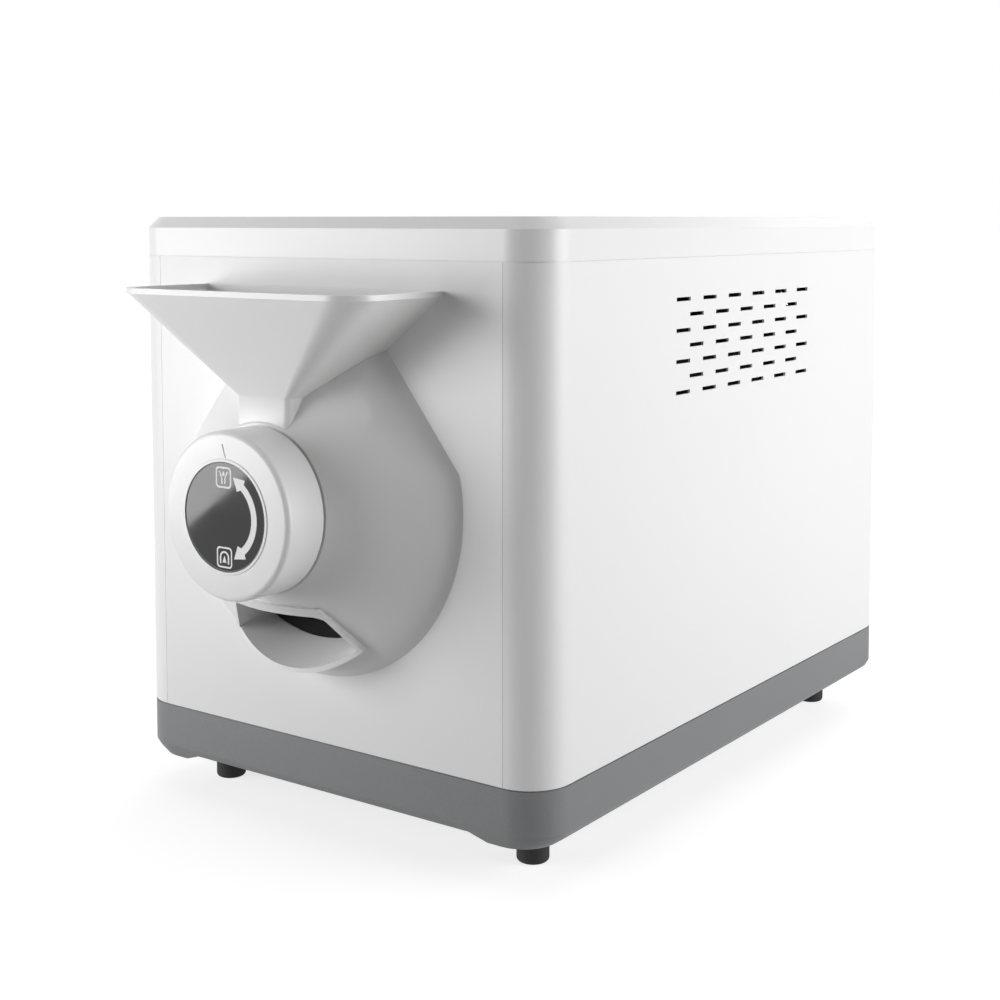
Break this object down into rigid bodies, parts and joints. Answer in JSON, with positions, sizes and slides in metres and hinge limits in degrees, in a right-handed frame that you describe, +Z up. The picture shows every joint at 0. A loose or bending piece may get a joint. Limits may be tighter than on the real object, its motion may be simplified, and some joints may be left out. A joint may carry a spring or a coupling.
{
  "type": "coffee bean roaster",
  "caption": "Countertop drum roaster with a front feed hopper, a rotary feed and discharge dial, a scooped discharge lip, vented case and rubber feet.",
  "frame": {"origin": "middle of the footprint, on the surface the feet stand on", "axes": "+Z up; the front with the dial faces -Y; +X to the right seen from the front; the roasting axis runs along Y"},
  "size_m": [0.265, 0.4576, 0.3088],
  "materials": {
    "case_white": "satin powder coat",
    "moulded_white": "satin moulded plastic",
    "base_grey": "fine-textured moulded plastic",
    "rubber_black": "matt rubber",
    "face_black": "glossy printed disc",
    "steel": "brushed stainless steel",
    "zinc": "zinc-plated screws",
    "bronze": "sintered bronze",
    "ceramic": "unglazed ceramic",
    "wool": "dark felted ceramic fibre blanket",
    "aluminium": "turned aluminium",
    "motor_black": "black enamel",
    "coated_black": "black heat-proof coat on steel",
    "black_plastic": "matt black plastic",
    "board_green": "solder mask",
    "panel_dark": "satin overlay",
    "display_glass": "smoked window",
    "key_white": "satin key caps"
  },
  "bodies": {
    "case": {"base_tray": "base_grey", "feet": "rubber_black", "foot_screws": "zinc", "right_side_panel": "case_white", "left_side_panel": "case_white", "front_panel": "case_white", "rear_panel": "case_white", "top_cover": "moulded_white", "rear_screws": "zinc", "nose_housing": "moulded_white", "discharge_chute": "moulded_white", "feed_hopper": "moulded_white", "front_screws": "zinc", "dial_face": "face_black", "dial_spindle": "steel", "front_spider": "coated_black", "front_frame_plate": "steel", "rear_frame_plate": "steel", "frame_screws": "zinc", "front_bearing_ring": "bronze", "rear_bearing": "bronze", "chamber_shell": "steel", "insulation_blanket": "wool", "heater_rods": "steel", "heater_bushes": "ceramic", "temperature_probe": "steel", "gearmotor": "motor_black", "motor_plate": "steel", "motor_posts": "aluminium", "motor_screws": "zinc", "fan_frame": "black_plastic", "power_inlet": "black_plastic", "inlet_pins": "bronze", "switch_frame": "black_plastic", "control_overlay": "panel_dark", "display_window": "display_glass", "control_board": "board_green", "board_keys": "black_plastic", "board_screws": "zinc", "power_board": "board_green"},
    "dial": {"dial_ring": "moulded_white", "diverter_scoop": "coated_black", "dial_screws": "zinc"},
    "drum": {"roasting_drum": "steel", "drum_vanes": "steel", "drum_hub": "steel", "drum_shaft": "steel", "shaft_coupling": "aluminium", "gearmotor_shaft": "steel"},
    "fan": {"fan_rotor": "black_plastic"},
    "rocker": {"power_rocker": "black_plastic"},
    "power_key": {"power_button": "key_white"},
    "minus_key": {"minus_button": "key_white"},
    "plus_key": {"plus_button": "key_white"},
    "start_key": {"start_button": "key_white"}
  },
  "joints": [
    {"name": "dial_turn", "type": "hinge", "parent": "case", "child": "dial", "pos_m": [0, -0.2042, 0.1715], "axis": [0, 1, 0], "range_deg": [0, 180]},
    {"name": "drum_spin", "type": "hinge", "parent": "case", "child": "drum", "pos_m": [0, 0, 0.1715], "axis": [0, 1, 0], "continuous": true},
    {"name": "fan_spin", "type": "hinge", "parent": "case", "child": "fan", "pos_m": [0.04, 0.2148, 0.2385], "axis": [0, 1, 0], "continuous": true},
    {"name": "rocker_tilt", "type": "hinge", "parent": "case", "child": "rocker", "pos_m": [-0.062, 0.223, 0.1245], "axis": [1, 0, 0], "range_deg": [0, 16]},
    {"name": "power_press", "type": "slide", "parent": "case", "child": "power_key", "axis": [0, 0, -1], "range_m": [0, 0.001], "stiffness_N_per_m": 300, "springref_m": -0.001},
    {"name": "minus_press", "type": "slide", "parent": "case", "child": "minus_key", "axis": [0, 0, -1], "range_m": [0, 0.001], "stiffness_N_per_m": 300, "springref_m": -0.001},
    {"name": "plus_press", "type": "slide", "parent": "case", "child": "plus_key", "axis": [0, 0, -1], "range_m": [0, 0.001], "stiffness_N_per_m": 300, "springref_m": -0.001},
    {"name": "start_press", "type": "slide", "parent": "case", "child": "start_key", "axis": [0, 0, -1], "range_m": [0, 0.001], "stiffness_N_per_m": 300, "springref_m": -0.001}
  ]
}
